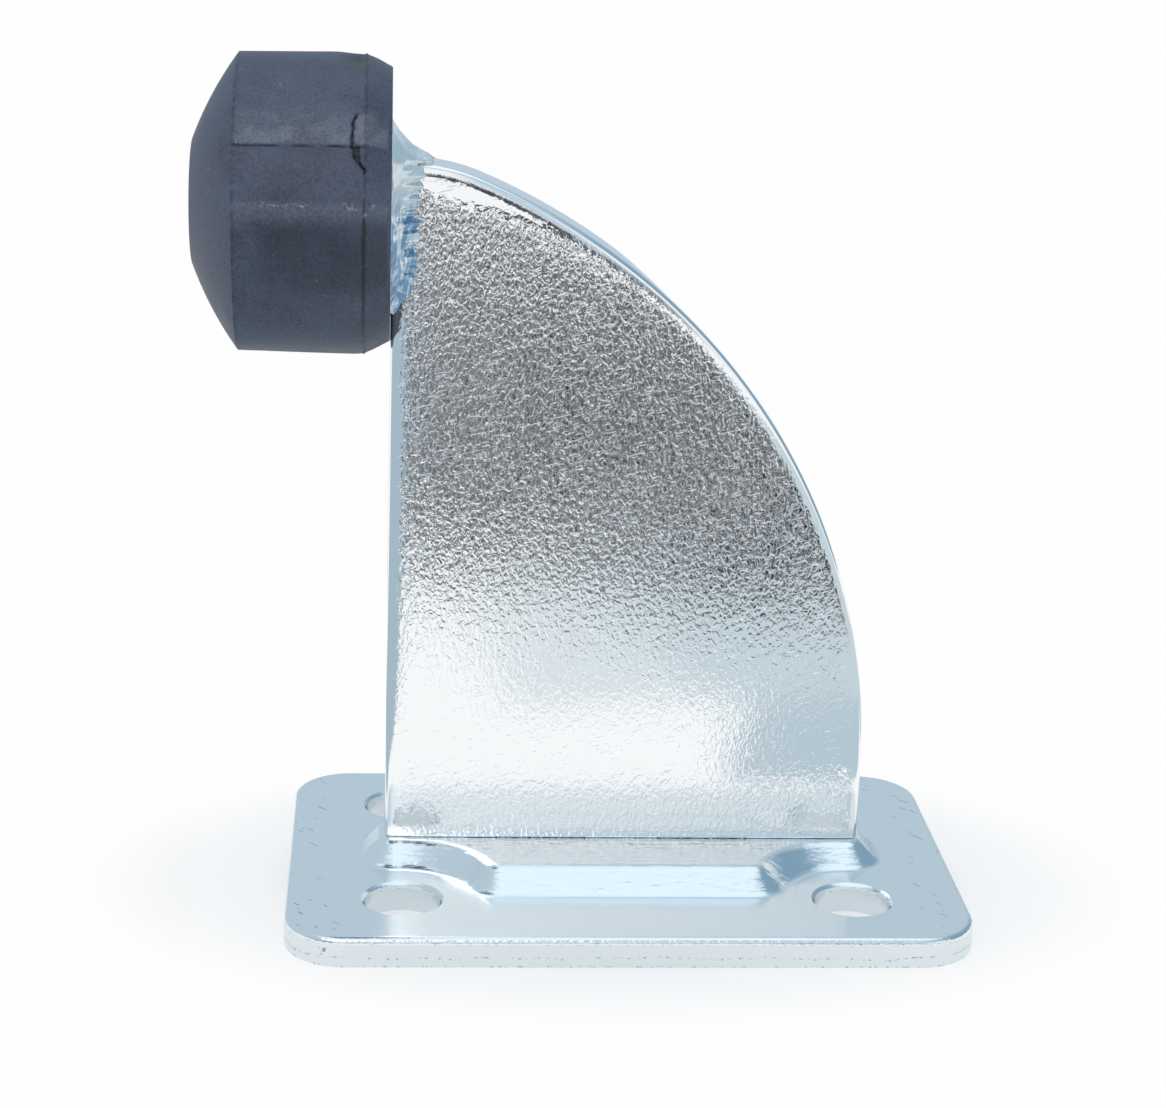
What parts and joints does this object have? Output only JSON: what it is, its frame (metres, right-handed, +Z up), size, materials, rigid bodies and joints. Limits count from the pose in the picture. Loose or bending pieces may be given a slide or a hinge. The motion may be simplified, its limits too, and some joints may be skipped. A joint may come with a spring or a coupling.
{
  "type": "gate stop",
  "caption": "Bolt-down gate stop: a steel upright with a straight front and a curved back on a pressed base plate, with a crowned rubber buffer at the top of its front edge.",
  "frame": {"origin": "middle of the base plate's underside, at the centre of the fixing holes", "axes": "+Z up, +X along the base plate away from the buffer, -Y towards the upright's face with the rolled edges"},
  "size_m": [0.1022, 0.0564, 0.1116],
  "materials": {
    "zinc_plate": "bright zinc plate, blue passivated, smooth",
    "zinc_upright": "bright zinc plate over a grainy rolled skin",
    "zinc_weld": "zinc plate over a rippled weld",
    "buffer_rubber": "matt moulded rubber"
  },
  "bodies": {
    "root": {"base_plate": "zinc_plate", "upright": "zinc_upright", "foot_welds": "zinc_weld", "buffer_disc": "zinc_plate", "disc_weld": "zinc_weld", "rubber_buffer": "buffer_rubber"}
  },
  "joints": []
}
